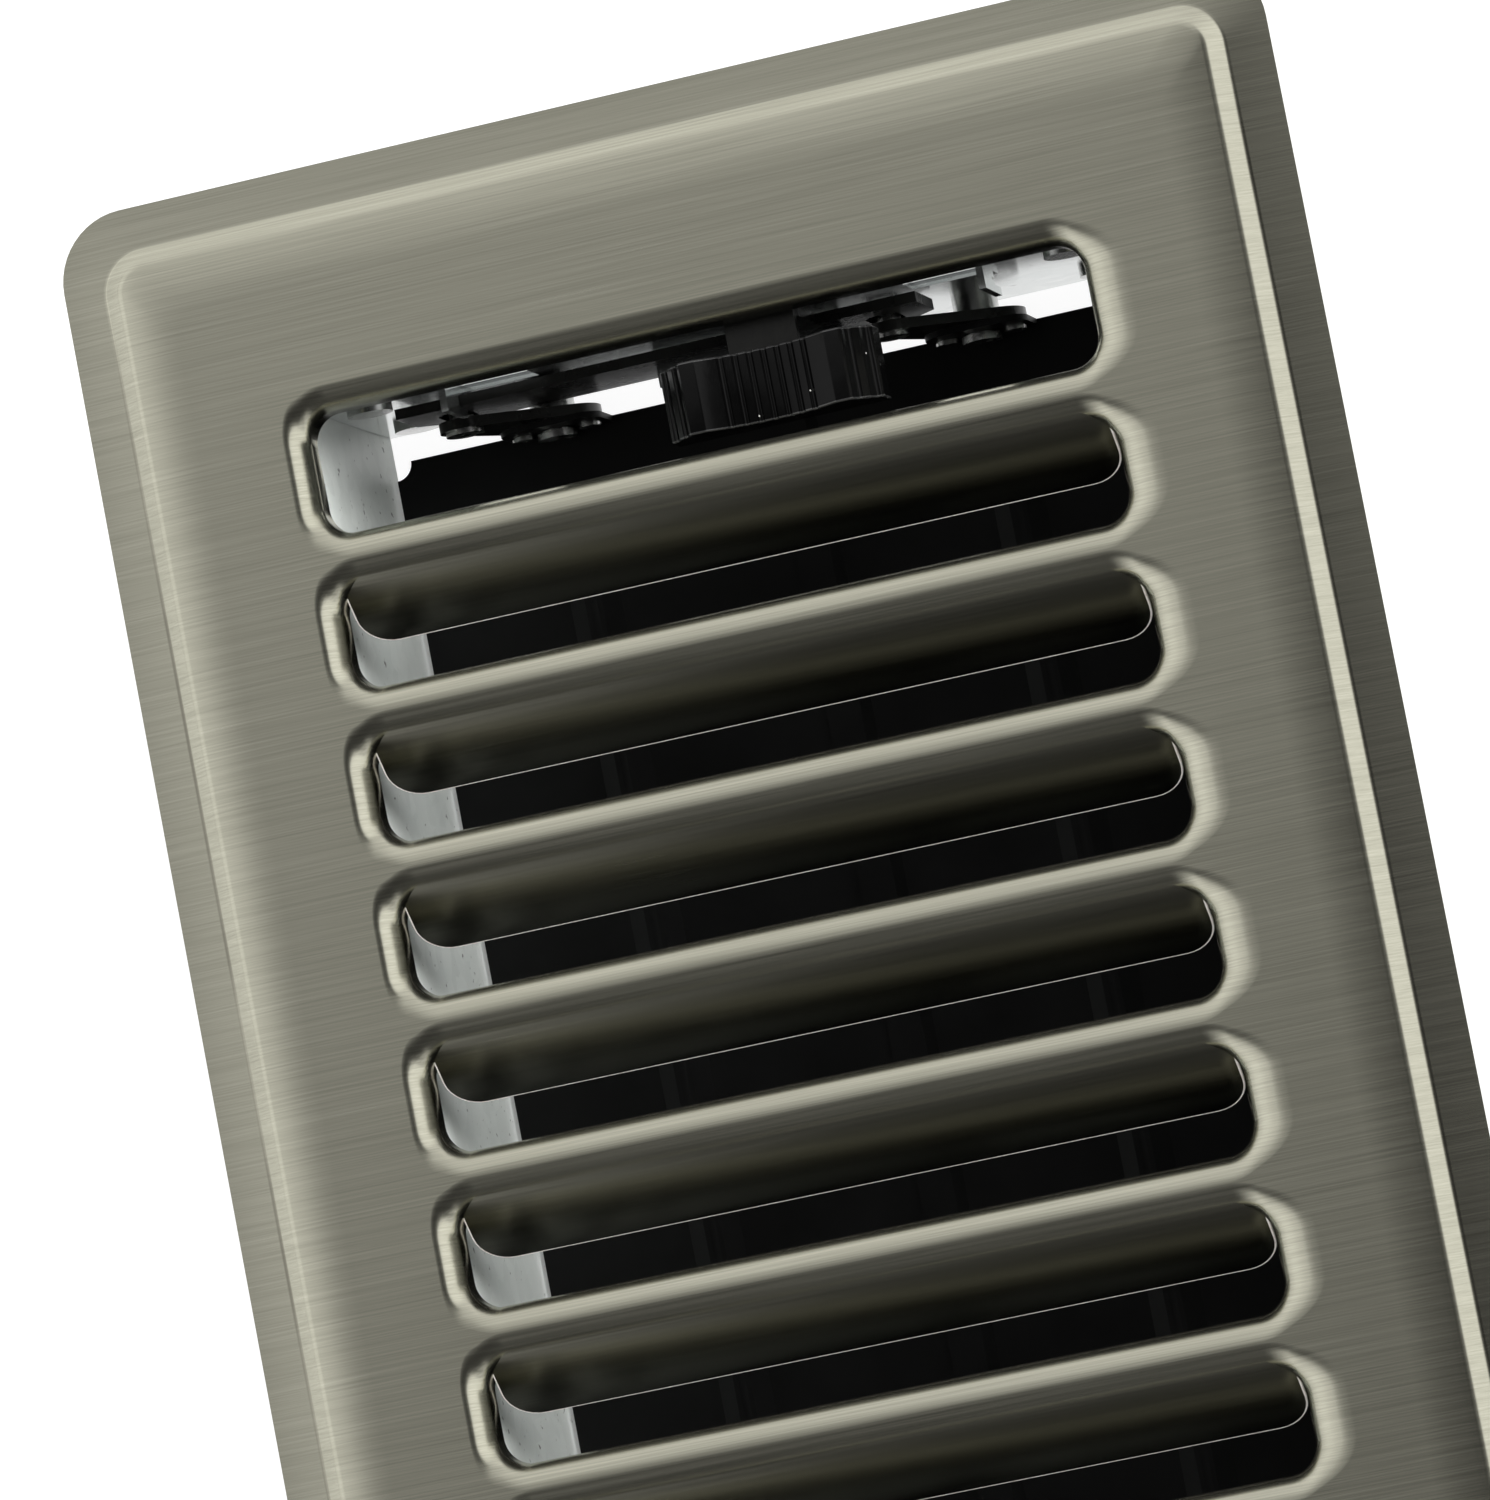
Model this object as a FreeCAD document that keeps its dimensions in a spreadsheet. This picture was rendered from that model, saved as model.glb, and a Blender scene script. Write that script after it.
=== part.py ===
"""Steel floor register for a 4 x 10 in duct opening, with a two-blade damper worked by a thumb knob.

Frame: +Z points up out of the face, +X is the short way, +Y the long way towards the lever slot.
The origin is on the surface that the damper box stands on, in the middle. Lengths are in millimetres.
"""
import FreeCAD, Part
import math
import os
import Sketcher

os.makedirs("parts", exist_ok=True)
doc = FreeCAD.newDocument("floor_register")

# Straight facets that stand for the border's concave crease and its convex shoulder
CREASE_STEPS = 2
SHOULDER_STEPS = 3

# How far a form that only cuts runs on past the metal
CUT_RUN = 1.0

# Driving dimensions
size = {
    # Stamped face: a sloping border, a 45 degree step and a raised flat panel
    "face_width": 139.7,
    "face_length": 296.5,
    "face_sheet": 0.9,
    "edge_height": 1.1,
    "border_width": 5.2,
    "border_rise": 1.05,
    "step_width": 1.65,
    "step_height": 1.6,
    "outer_corner": 8.0,
    "crease_corner": 5.0,
    "panel_corner": 3.0,
    "shoulder_radius": 2.0,
    "crease_radius": 1.0,
    # Slots and louvres
    "slot_length": 89.6,
    "slot_corner": 3.3,
    "roll_radius": 2.8,
    "collar_depth": 5.0,
    "lever_slot": 13.8,
    "louvre_pitch": 17.5,
    "louvre_margin": 27.5,
    "crest_flat": 0.2,
    "louvre_tilt": 45.0,
    "louvre_length": 10.2,
    "louvre_end_gap": 0.5,
    "louvre_corner": 4.0,
    # Damper box
    "box_depth": 38.1,
    "box_sheet": 0.8,
    "collar_gap": 0.6,
    "box_flange": 6.0,
    "fold_radius": 0.8,
    "end_tab": 11.0,
    "seam_gap": 0.1,
    "rivet_diameter": 3.0,
    "rivet_head": 5.2,
    "rivet_head_height": 0.9,
    "rivet_inset": 5.5,
    "rivet_low": 8.0,
    "rivet_high": 27.0,
    # Damper blades
    "blade_sheet": 0.7,
    "pivot_inset": 21.0,
    "pivot_height": 5.6,
    "pivot_offset": 3.0,
    "blade_side_gap": 0.6,
    "blade_end_gap": 3.4,
    "blade_overlap": 1.0,
    "joggle_height": 1.1,
    "joggle_width": 4.0,
    "bead_width": 6.0,
    "bead_top": 2.0,
    "bead_height": 1.2,
    "bead_setback": 12.0,
    "ear_width": 12.0,
    "ear_top": 5.0,
    "ear_corner": 3.0,
    "corner_notch": 2.0,
    # Cranks, pins and slide
    "crank_radius": 13.0,
    "crank_sheet": 1.2,
    "crank_hub": 5.5,
    "crank_tip": 2.8,
    "crank_rivet": 1.8,
    "crank_rivet_spread": 4.0,
    "crank_rivet_cap": 2.7,
    "crank_rivet_head": 0.5,
    "crank_pin": 3.0,
    "crank_pin_head": 4.4,
    "slide_travel": 16.0,
    "pivot_pin": 3.5,
    "pivot_head": 6.0,
    "pivot_head_height": 0.8,
    "pivot_shoulder": 5.2,
    "pivot_stake": 4.6,
    "running_gap": 0.1,
    "pin_gap": 0.45,
    "slide_sheet": 1.2,
    "slide_fold": 1.0,
    "slide_wall_gap": 0.6,
    "slide_web": 2.0,
    "slide_rise": 4.0,
    "slide_end": 3.4,
    # Lanced guides in the end wall
    "guide_spacing": 62.0,
    "guide_window": 9.0,
    "guide_reach": 2.9,
    "guide_rise": 5.5,
    "guide_lap": 2.6,
    "guide_gap": 0.2,
    "ledge_inset": 2.0,
    "ledge_length": 9.0,
    # Thumb knob
    "knob_rest": 7.1,
    "knob_setback": 2.3,
    "knob_width": 24.6,
    "knob_depth": 8.2,
    "knob_bottom": 6.0,
    "knob_base": 3.2,
    "knob_shoulder": 18.4,
    "horn_width": 1.7,
    "knob_top": 0.8,
    "valley_depth": 2.3,
    "rib_pitch": 1.6,
    "rib_groove": 0.35,
    "valley_grooves": 7,
    "flank_grooves": 3,
    "tongue_width": 8.0,
    "tongue_sheet": 1.2,
    "tongue_depth": 3.6,
}

# Derived places, all worked out from the driving dimensions
rim = size["box_depth"]
top = rim + size["edge_height"] + size["border_rise"] + size["step_height"]
half_slot = size["slot_length"] / 2
louvre_room = size["face_length"] - 2 * size["louvre_margin"] - size["lever_slot"]
louvre_count = int(louvre_room / size["louvre_pitch"])
louvre_block = size["lever_slot"] + louvre_count * size["louvre_pitch"]
lever_low = louvre_block / 2 - size["lever_slot"]
bar_width = 2 * size["roll_radius"] + size["crest_flat"]
border_angle = math.atan2(size["border_rise"], size["border_width"])
step_angle = math.atan2(size["step_height"], size["step_width"])
tilt = math.radians(size["louvre_tilt"])
wall_x = half_slot + size["face_sheet"] + size["collar_gap"]
wall_y = louvre_block / 2 + size["face_sheet"] + size["collar_gap"]
pivot_x = wall_x - size["pivot_inset"]
swing = math.asin(size["slide_travel"] / 2 / size["crank_radius"])
pin_low = size["pivot_height"] + size["crank_radius"] * math.cos(swing)
pin_high = size["pivot_height"] + size["crank_radius"]
slot_half = size["crank_pin"] / 2 + size["pin_gap"]
slide_face = wall_y - size["slide_wall_gap"]
blade_end = wall_y - size["blade_end_gap"]
blade_top = size["pivot_height"] - size["pivot_offset"]
bead_slope = math.atan2((size["bead_width"] - size["bead_top"]) / 2, size["bead_height"])
knob_low = lever_low + size["knob_setback"]
valley_chord = size["knob_shoulder"] - 2 * size["horn_width"]
valley_radius = (valley_chord ** 2 / 4 + size["valley_depth"] ** 2) / (2 * size["valley_depth"])

derived = {
    "rim_plane": rim,
    "panel_top": top,
    "panel_under": top - size["face_sheet"],
    "fold_low": top - size["face_sheet"] - size["box_sheet"] - size["fold_radius"],
    "collar_bottom": top - size["collar_depth"],
    "half_slot": half_slot,
    "louvre_count": louvre_count,
    "block_half": louvre_block / 2,
    "lever_low": lever_low,
    "bar_width": bar_width,
    "louvre_root_y": lever_low - size["crest_flat"] - size["roll_radius"] * (1 + math.sin(tilt)),
    "louvre_root_z": top - size["roll_radius"] * (1 - math.cos(tilt)),
    "wall_x": wall_x,
    "wall_y": wall_y,
    "pivot_x": pivot_x,
    "blade_top": blade_top,
    "blade_end": blade_end,
    "bead_slope": math.degrees(bead_slope),
    "swing_angle": math.degrees(swing),
    "pin_low": pin_low,
    "pin_high": pin_high,
    "slot_half": slot_half,
    "slot_round": 0.95 * slot_half,
    "slide_face": slide_face,
    "slide_low": pin_low - slot_half - size["slide_web"],
    "slide_high": pin_high + slot_half + size["slide_rise"],
    "pin_reach": size["slide_travel"] / 2,
    "knob_low": knob_low,
    "valley_radius": valley_radius,
    "valley_centre": rim + size["knob_top"] - size["valley_depth"] + valley_radius,
}


def border_levels(depth):
    """Inset, height and corner radius of the border's section, at a depth below the outer skin."""
    crease_radius = size["crease_radius"]
    shoulder_radius = size["shoulder_radius"]
    crease_inset = size["border_width"]
    crease_height = rim + size["edge_height"] + size["border_rise"]
    crease_run = crease_radius * math.tan((step_angle - border_angle) / 2)
    shoulder_inset = crease_inset + size["step_width"]
    shoulder_run = shoulder_radius * math.tan(step_angle / 2)

    def corner(inset):
        share = min(inset / crease_inset, 1)
        radius = size["outer_corner"] + share * (size["crease_corner"] - size["outer_corner"])
        share = min(max(inset - crease_inset, 0) / size["step_width"], 1)
        return radius + share * (size["panel_corner"] - size["crease_corner"])

    def level(centre_inset, centre_height, radius, angle):
        outer_inset = centre_inset - radius * math.sin(angle)
        inset = outer_inset + depth * math.sin(angle)
        height = centre_height + (radius - depth) * math.cos(angle)
        return inset, height, corner(outer_inset) - depth * math.sin(angle)

    edge_height = rim + size["edge_height"] + depth * (math.tan(border_angle) - 1 / math.cos(border_angle))
    levels = [(depth, edge_height, size["outer_corner"] - depth)]
    inset = crease_inset - crease_run * math.cos(border_angle) - crease_radius * math.sin(border_angle)
    height = crease_height - crease_run * math.sin(border_angle) + crease_radius * math.cos(border_angle)
    for step in range(CREASE_STEPS + 1):
        angle = border_angle + (step_angle - border_angle) * step / CREASE_STEPS
        levels.append(level(inset, height, -crease_radius, angle))
    inset = shoulder_inset - shoulder_run * math.cos(step_angle) + shoulder_radius * math.sin(step_angle)
    height = top - shoulder_run * math.sin(step_angle) - shoulder_radius * math.cos(step_angle)
    for step in range(SHOULDER_STEPS + 1):
        angle = step_angle * (1 - step / SHOULDER_STEPS)
        levels.append(level(inset, height, shoulder_radius, angle))
    return levels


for skin, depth, foot in (("outer", 0.0, rim), ("inner", size["face_sheet"], rim - CUT_RUN)):
    levels = border_levels(depth)
    levels.insert(0, (levels[0][0], foot, levels[0][2]))
    for index, (inset, height, radius) in enumerate(levels):
        derived[f"{skin}_inset_{index}"] = inset
        derived[f"{skin}_height_{index}"] = height
        derived[f"{skin}_corner_{index}"] = radius

# All sizes go into one sheet, and every feature below is bound to its cells
sheet = doc.addObject("Spreadsheet::Sheet", "sizes")
for row, (alias, number) in enumerate({**size, **derived}.items(), 1):
    sheet.set(f"A{row}", alias)
    sheet.set(f"B{row}", str(number))
    sheet.setAlias(f"B{row}", alias)
doc.recompute()


def value(expression):
    """The number that an expression gives now."""
    return float(sheet.evalExpression(expression.replace("sizes.", "")))


def new_body(label):
    """An empty body with a label."""
    body = doc.addObject("PartDesign::Body", label)
    body.Label = label
    return body


def new_sketch(body, name, plane, offset="0"):
    """A sketch on one of the body's origin planes, moved along +X, +Y or +Z by offset."""
    sketch = body.newObject("Sketcher::SketchObject", name)
    support = next(item for item in body.Origin.OriginFeatures if item.Role == plane)
    sketch.AttachmentSupport = [(support, "")]
    sketch.MapMode = "FlatFace"
    sign = "-1" if plane == "XZ_Plane" else "1"
    sketch.setExpression("AttachmentOffset.Base.z", f"{sign} * ({offset})")
    return sketch


def place_vertex(sketch, edge, end, across, along):
    """Ties one end of an edge to two expressions, measured from the sketch's origin."""
    for kind, axis, expression in (("DistanceX", "across", across), ("DistanceY", "along", along)):
        index = sketch.addConstraint(Sketcher.Constraint(kind, -1, 1, edge, end, value(expression)))
        sketch.renameConstraint(index, f"{axis}_{edge}_{end}")
        sketch.setExpression(f"Constraints.{axis}_{edge}_{end}", expression)


def draw_outline(sketch, corners):
    """A closed outline of straight edges through corners, each a pair of expressions."""
    first = sketch.GeometryCount
    points = [FreeCAD.Vector(value(across), value(along), 0) for across, along in corners]
    count = len(points)
    for index in range(count):
        sketch.addGeometry(Part.LineSegment(points[index], points[(index + 1) % count]))
    for index in range(count):
        following = first + (index + 1) % count
        sketch.addConstraint(Sketcher.Constraint("Coincident", first + index, 2, following, 1))
    for index, (across, along) in enumerate(corners):
        place_vertex(sketch, first + index, 1, across, along)


def draw_rectangle(sketch, left, right, low, high):
    """A rectangle between four expressions."""
    draw_outline(sketch, [(left, low), (right, low), (right, high), (left, high)])


def draw_circle(sketch, across, along, diameter):
    """A circle whose centre and diameter are expressions."""
    centre = FreeCAD.Vector(value(across), value(along), 0)
    edge = sketch.addGeometry(Part.Circle(centre, FreeCAD.Vector(0, 0, 1), value(diameter) / 2))
    place_vertex(sketch, edge, 3, across, along)
    index = sketch.addConstraint(Sketcher.Constraint("Diameter", edge, value(diameter)))
    sketch.renameConstraint(index, f"diameter_{edge}")
    sketch.setExpression(f"Constraints.diameter_{edge}", diameter)


def draw_rounded(sketch, left, right, low, high, radius):
    """A rectangle between four expressions, with round corners."""
    first = sketch.GeometryCount
    x0, x1, y0, y1, r = (value(item) for item in (left, right, low, high, radius))
    centres = [(x1 - r, y0 + r), (x1 - r, y1 - r), (x0 + r, y1 - r), (x0 + r, y0 + r)]
    lines = [((x0 + r, y0), (x1 - r, y0)), ((x1, y0 + r), (x1, y1 - r)),
             ((x1 - r, y1), (x0 + r, y1)), ((x0, y1 - r), (x0, y0 + r))]
    for start, end in lines:
        sketch.addGeometry(Part.LineSegment(FreeCAD.Vector(*start, 0), FreeCAD.Vector(*end, 0)))
    for index, centre in enumerate(centres):
        circle = Part.Circle(FreeCAD.Vector(*centre, 0), FreeCAD.Vector(0, 0, 1), r)
        begin = (index - 1) * math.pi / 2
        sketch.addGeometry(Part.ArcOfCircle(circle, begin, begin + math.pi / 2))
    for index in range(4):
        line, arc, following = first + index, first + 4 + index, first + (index + 1) % 4
        sketch.addConstraint(Sketcher.Constraint("Tangent", line, 2, arc, 1))
        sketch.addConstraint(Sketcher.Constraint("Tangent", arc, 2, following, 1))
        sketch.addConstraint(Sketcher.Constraint("Vertical" if index % 2 else "Horizontal", line))
    for index in range(1, 4):
        sketch.addConstraint(Sketcher.Constraint("Equal", first + 4, first + 4 + index))
    index = sketch.addConstraint(Sketcher.Constraint("Radius", first + 4, r))
    sketch.renameConstraint(index, f"corner_{first}")
    sketch.setExpression(f"Constraints.corner_{first}", radius)
    place_vertex(sketch, first + 4, 3, f"({right}) - ({radius})", f"({low}) + ({radius})")
    place_vertex(sketch, first + 6, 3, f"({left}) + ({radius})", f"({high}) - ({radius})")


def add_pad(body, name, sketch, length, reverse=False, middle=False):
    """A pad whose length is an expression."""
    pad = body.newObject("PartDesign::Pad", name)
    pad.Profile = sketch
    pad.setExpression("Length", length)
    pad.Reversed = reverse
    pad.Midplane = middle
    return pad


def add_pocket(body, name, sketch, length=None, reverse=False, middle=False):
    """A pocket of the given depth, or right through, that must take material away."""
    doc.recompute()
    before = body.Shape.Volume
    pocket = body.newObject("PartDesign::Pocket", name)
    pocket.Profile = sketch
    if length is None:
        pocket.Type = 1
        pocket.Midplane = True
    else:
        pocket.setExpression("Length", length)
        pocket.Reversed = reverse
        pocket.Midplane = middle
    doc.recompute()
    if body.Shape.Volume >= before:
        raise RuntimeError(f"{name} takes nothing away")
    return pocket


def add_fillet(body, name, base, radius, wanted):
    """Rounds the edges of base that wanted picks."""
    doc.recompute()
    names = [f"Edge{index}" for index, edge in enumerate(base.Shape.Edges, 1) if wanted(edge)]
    if not names:
        raise RuntimeError(f"{name} finds no edge")
    fillet = body.newObject("PartDesign::Fillet", name)
    fillet.Base = (base, names)
    fillet.setExpression("Radius", radius)
    return fillet


def along(edge, axis):
    """True for a straight edge that runs along the axis."""
    if not isinstance(edge.Curve, (Part.Line, Part.LineSegment)):
        return False
    span = edge.Vertexes[-1].Point - edge.Vertexes[0].Point
    return abs(abs(span.dot(axis)) - span.Length) < 1e-6


def near(number, target):
    """True within a hundredth of a millimetre."""
    return abs(number - target) < 0.01


AXIS_X = FreeCAD.Vector(1, 0, 0)
AXIS_Y = FreeCAD.Vector(0, 1, 0)
AXIS_Z = FreeCAD.Vector(0, 0, 1)


def build_face_form(skin, slot_growth, block_growth, bottom, roll, block_top):
    """One skin of the stamped face: the stepped pan, the block for the collars, and the rolled slots."""
    label = f"face_{skin}"
    body = new_body(label)
    levels = []
    while f"{skin}_inset_{len(levels)}" in derived:
        index = len(levels)
        level = new_sketch(body, f"{label}_level_{index}", "XY_Plane", f"sizes.{skin}_height_{index}")
        reach_x = f"sizes.face_width / 2 - sizes.{skin}_inset_{index}"
        reach_y = f"sizes.face_length / 2 - sizes.{skin}_inset_{index}"
        corner = f"sizes.{skin}_corner_{index}"
        draw_rounded(level, f"-({reach_x})", reach_x, f"-({reach_y})", reach_y, corner)
        levels.append(level)
    pan = body.newObject("PartDesign::AdditiveLoft", f"{label}_pan")
    pan.Profile = levels[0]
    pan.Sections = levels[1:]
    pan.Ruled = True
    skin_top = value(f"sizes.{skin}_height_{len(levels) - 1}")
    block = new_sketch(body, f"{label}_block_outline", "XY_Plane", bottom)
    half_x = f"sizes.half_slot + {block_growth}"
    half_y = f"sizes.block_half + {block_growth}"
    draw_rectangle(block, f"-({half_x})", half_x, f"-({half_y})", half_y)
    add_pad(body, f"{label}_block", block, f"{block_top} - ({bottom})")
    reach = f"sizes.half_slot + {slot_growth}"
    radius = f"sizes.slot_corner + {slot_growth}"
    lever = new_sketch(body, f"{label}_lever_slot", "XY_Plane", "sizes.panel_top")
    draw_rounded(lever, f"-({reach})", reach, f"sizes.lever_low - {slot_growth}",
                 f"sizes.block_half + {slot_growth}", radius)
    add_pocket(body, f"{label}_lever_pocket", lever)
    louvre = new_sketch(body, f"{label}_louvre_slot", "XY_Plane", "sizes.panel_top")
    draw_rounded(louvre, f"-({reach})", reach, f"sizes.lever_low - sizes.louvre_pitch - {slot_growth}",
                 f"sizes.lever_low - sizes.bar_width + {slot_growth}", radius)
    cut = add_pocket(body, f"{label}_louvre_pocket", louvre)
    ladder = body.newObject("PartDesign::LinearPattern", f"{label}_ladder")
    ladder.Originals = [cut]
    ladder.Direction = (next(item for item in body.Origin.OriginFeatures if item.Role == "Y_Axis"), [""])
    ladder.Reversed = True
    ladder.setExpression("Length", "sizes.louvre_pitch * (sizes.louvre_count - 1)")
    ladder.setExpression("Occurrences", "sizes.louvre_count")
    body.Tip = ladder
    doc.recompute()
    limit_x = value(reach)
    limit_y = value(f"sizes.block_half + {slot_growth}")
    add_fillet(body, f"{label}_rolls", ladder, roll,
               lambda edge: all(near(vertex.Z, skin_top) for vertex in edge.Vertexes)
               and edge.BoundBox.XMax < limit_x + 0.01 and edge.BoundBox.XMin > -limit_x - 0.01
               and abs(edge.CenterOfMass.y) < limit_y + 0.01)
    doc.recompute()
    return body


def build_louvre_array(label, half_width, length, start, depth, corner):
    """A tilted slab below the roll of every bar, rounded at its free corners if corner is given."""
    body = new_body(label)
    outline = new_sketch(body, f"{label}_outline", "XY_Plane", "0")
    outline.setExpression("AttachmentOffset.Base.y", "sizes.louvre_root_y")
    outline.setExpression("AttachmentOffset.Base.z", "sizes.louvre_root_z")
    outline.setExpression("AttachmentOffset.Rotation.Axis.x", "1")
    outline.setExpression("AttachmentOffset.Rotation.Axis.z", "0")
    outline.setExpression("AttachmentOffset.Rotation.Angle", "sizes.louvre_tilt")
    draw_rectangle(outline, f"-({half_width})", half_width, f"-({length})", start)
    slab = add_pad(body, f"{label}_slab", outline, depth, reverse=True)
    repeated = [slab]
    if corner:
        drop = value(length) * math.sin(tilt)
        lower = value("sizes.louvre_root_z") - drop
        repeated.append(add_fillet(body, f"{label}_corners", slab, corner,
                                   lambda edge: near(edge.Length, value(depth))
                                   and edge.CenterOfMass.z < lower + 0.01))
    ladder = body.newObject("PartDesign::LinearPattern", f"{label}_ladder")
    ladder.Originals = repeated
    ladder.Direction = (next(item for item in body.Origin.OriginFeatures if item.Role == "Y_Axis"), [""])
    ladder.Reversed = True
    ladder.setExpression("Length", "sizes.louvre_pitch * (sizes.louvre_count - 1)")
    ladder.setExpression("Occurrences", "sizes.louvre_count")
    body.Tip = ladder
    doc.recompute()
    return body


def build_faceplate():
    """The stamped sheet: outer skin less inner skin, with a louvre blade hanging from every bar."""
    outer = build_face_form("outer", "0", "2 * sizes.face_sheet", "sizes.collar_bottom",
                            "sizes.roll_radius", "sizes.panel_top - sizes.face_sheet")
    inner = build_face_form("inner", "sizes.face_sheet", "3 * sizes.face_sheet",
                            f"sizes.collar_bottom - {CUT_RUN}", "sizes.roll_radius - sizes.face_sheet",
                            "sizes.panel_under - sizes.face_sheet")
    shell = doc.addObject("Part::Cut", "face_shell")
    shell.Base = outer
    shell.Tool = inner

    # Each louvre slot opens its upper wall, where the blade comes off the rolled bar
    opening = build_louvre_array("louvre_opening", "sizes.half_slot - sizes.slot_corner",
                                 "sizes.louvre_length / 2", "0", "sizes.collar_depth", None)
    opened = doc.addObject("Part::Cut", "face_opened")
    opened.Base = shell
    opened.Tool = opening
    blades = build_louvre_array("louvre_blades", "sizes.half_slot - sizes.louvre_end_gap",
                                "sizes.louvre_length", "0", "sizes.face_sheet", "sizes.louvre_corner")
    plate = doc.addObject("Part::Fuse", "faceplate")
    plate.Base = opened
    plate.Tool = blades
    plate.Refine = True
    plate.Label = "faceplate"
    doc.recompute()
    return plate


def draw_fold(sketch, inner, outer, edge):
    """Section of a flange under the panel and of the top of the wall that it is folded from."""
    draw_outline(sketch, [(inner, "sizes.fold_low - sizes.box_sheet"),
                          (outer, "sizes.fold_low - sizes.box_sheet"),
                          (outer, "sizes.panel_under - sizes.box_sheet"),
                          (edge, "sizes.panel_under - sizes.box_sheet"), (edge, "sizes.panel_under"),
                          (inner, "sizes.panel_under")])


def round_fold(body, label, base, axis, inner, outer):
    """Rounds a fold outside and inside; inner and outer are the places of the wall's two faces."""
    doc.recompute()
    high = value("sizes.panel_under")
    low = value("sizes.panel_under - sizes.box_sheet")

    def across(edge):
        return edge.CenterOfMass.x if axis == AXIS_Y else edge.CenterOfMass.y

    outside = add_fillet(body, f"{label}_outside", base, "sizes.fold_radius + sizes.box_sheet",
                         lambda edge: along(edge, axis) and near(across(edge), inner)
                         and near(edge.CenterOfMass.z, high))
    return add_fillet(body, f"{label}_inside", outside, "sizes.fold_radius",
                      lambda edge: along(edge, axis) and near(across(edge), outer)
                      and near(edge.CenterOfMass.z, low))


def build_side_panel(label, side):
    """Long wall of the damper box: a folded channel with end tabs and a flange under the face."""
    body = new_body(label)
    hand = "1" if side > 0 else "-1"
    inner = f"{hand} * sizes.wall_x"
    outer = f"{hand} * (sizes.wall_x + sizes.box_sheet)"
    tab = f"{hand} * (sizes.wall_x - sizes.end_tab)"
    tab_face = "sizes.wall_y + sizes.box_sheet"
    tab_back = "sizes.wall_y + 2 * sizes.box_sheet"
    flange_edge = f"{hand} * (sizes.wall_x + sizes.box_sheet + sizes.box_flange)"
    flange = new_sketch(body, f"{label}_flange_outline", "XZ_Plane", "0")
    draw_fold(flange, inner, outer, flange_edge)
    brim = add_pad(body, f"{label}_flange", flange, "2 * (sizes.wall_y - sizes.box_sheet)", middle=True)
    round_fold(body, f"{label}_bend", brim, AXIS_Y, value(inner), value(outer))
    channel = new_sketch(body, f"{label}_channel_outline", "XY_Plane", "0")
    draw_outline(channel, [(outer, f"-({tab_back})"), (outer, tab_back), (tab, tab_back), (tab, tab_face),
                           (inner, tab_face), (inner, f"-({tab_face})"), (tab, f"-({tab_face})"),
                           (tab, f"-({tab_back})")])
    walls = add_pad(body, f"{label}_channel", channel, "sizes.fold_low")
    doc.recompute()
    corner_x = value(outer)
    corner_y = value(tab_back)
    add_fillet(body, f"{label}_folds", walls, "sizes.box_sheet",
               lambda edge: along(edge, AXIS_Z) and near(edge.CenterOfMass.x, corner_x)
               and near(abs(edge.CenterOfMass.y), corner_y))
    doc.recompute()
    holes = new_sketch(body, f"{label}_rivet_holes", "XZ_Plane", "0")
    for height in ("sizes.rivet_low", "sizes.rivet_high"):
        draw_circle(holes, f"{hand} * (sizes.wall_x - sizes.rivet_inset)", height, "sizes.rivet_diameter")
    add_pocket(body, f"{label}_rivet_bores", holes)
    return body


def build_end_plate(label, end):
    """End wall of the damper box; the lever end's has lanced guides and ledges for the slide bar."""
    body = new_body(label)
    sign = "1" if end > 0 else "-1"
    inner = f"{sign} * sizes.wall_y"
    outer = f"{sign} * (sizes.wall_y + sizes.box_sheet)"
    brim = new_sketch(body, f"{label}_brim_outline", "YZ_Plane", "0")
    draw_fold(brim, inner, outer, f"{sign} * (sizes.wall_y + 2 * sizes.box_sheet + sizes.box_flange)")
    flange = add_pad(body, f"{label}_brim", brim, "2 * (sizes.wall_x - sizes.box_sheet)", middle=True)
    round_fold(body, f"{label}_bend", flange, AXIS_X, value(inner), value(outer))
    reach = "sizes.wall_x - sizes.seam_gap"
    outline = new_sketch(body, f"{label}_outline", "XZ_Plane", inner)
    draw_rectangle(outline, f"-({reach})", reach, "0", "sizes.fold_low")
    for hand in ("1", "-1"):
        rivet_x = f"{hand} * (sizes.wall_x - sizes.rivet_inset)"
        draw_circle(outline, f"{hand} * sizes.pivot_x", "sizes.pivot_height", "sizes.pivot_pin")
        for height in ("sizes.rivet_low", "sizes.rivet_high"):
            draw_circle(outline, rivet_x, height, "sizes.rivet_diameter")
    if end > 0:
        for hand in ("1", "-1"):
            hinge = f"{hand} * sizes.guide_spacing / 2"
            far = f"{hand} * (sizes.guide_spacing / 2 - sizes.guide_window)"
            draw_rectangle(outline, hinge, far, "sizes.slide_high - sizes.guide_lap",
                           "sizes.slide_high + sizes.guide_rise")
            draw_rectangle(outline, f"{hand} * sizes.ledge_inset",
                           f"{hand} * (sizes.ledge_inset + sizes.ledge_length)",
                           "sizes.slide_low - sizes.guide_gap",
                           "sizes.slide_low - sizes.guide_gap + sizes.guide_reach")
    add_pad(body, f"{label}_web", outline, "sizes.box_sheet", reverse=end > 0)
    if end > 0:
        add_guides(body, label)
    doc.recompute()
    return body


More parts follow.
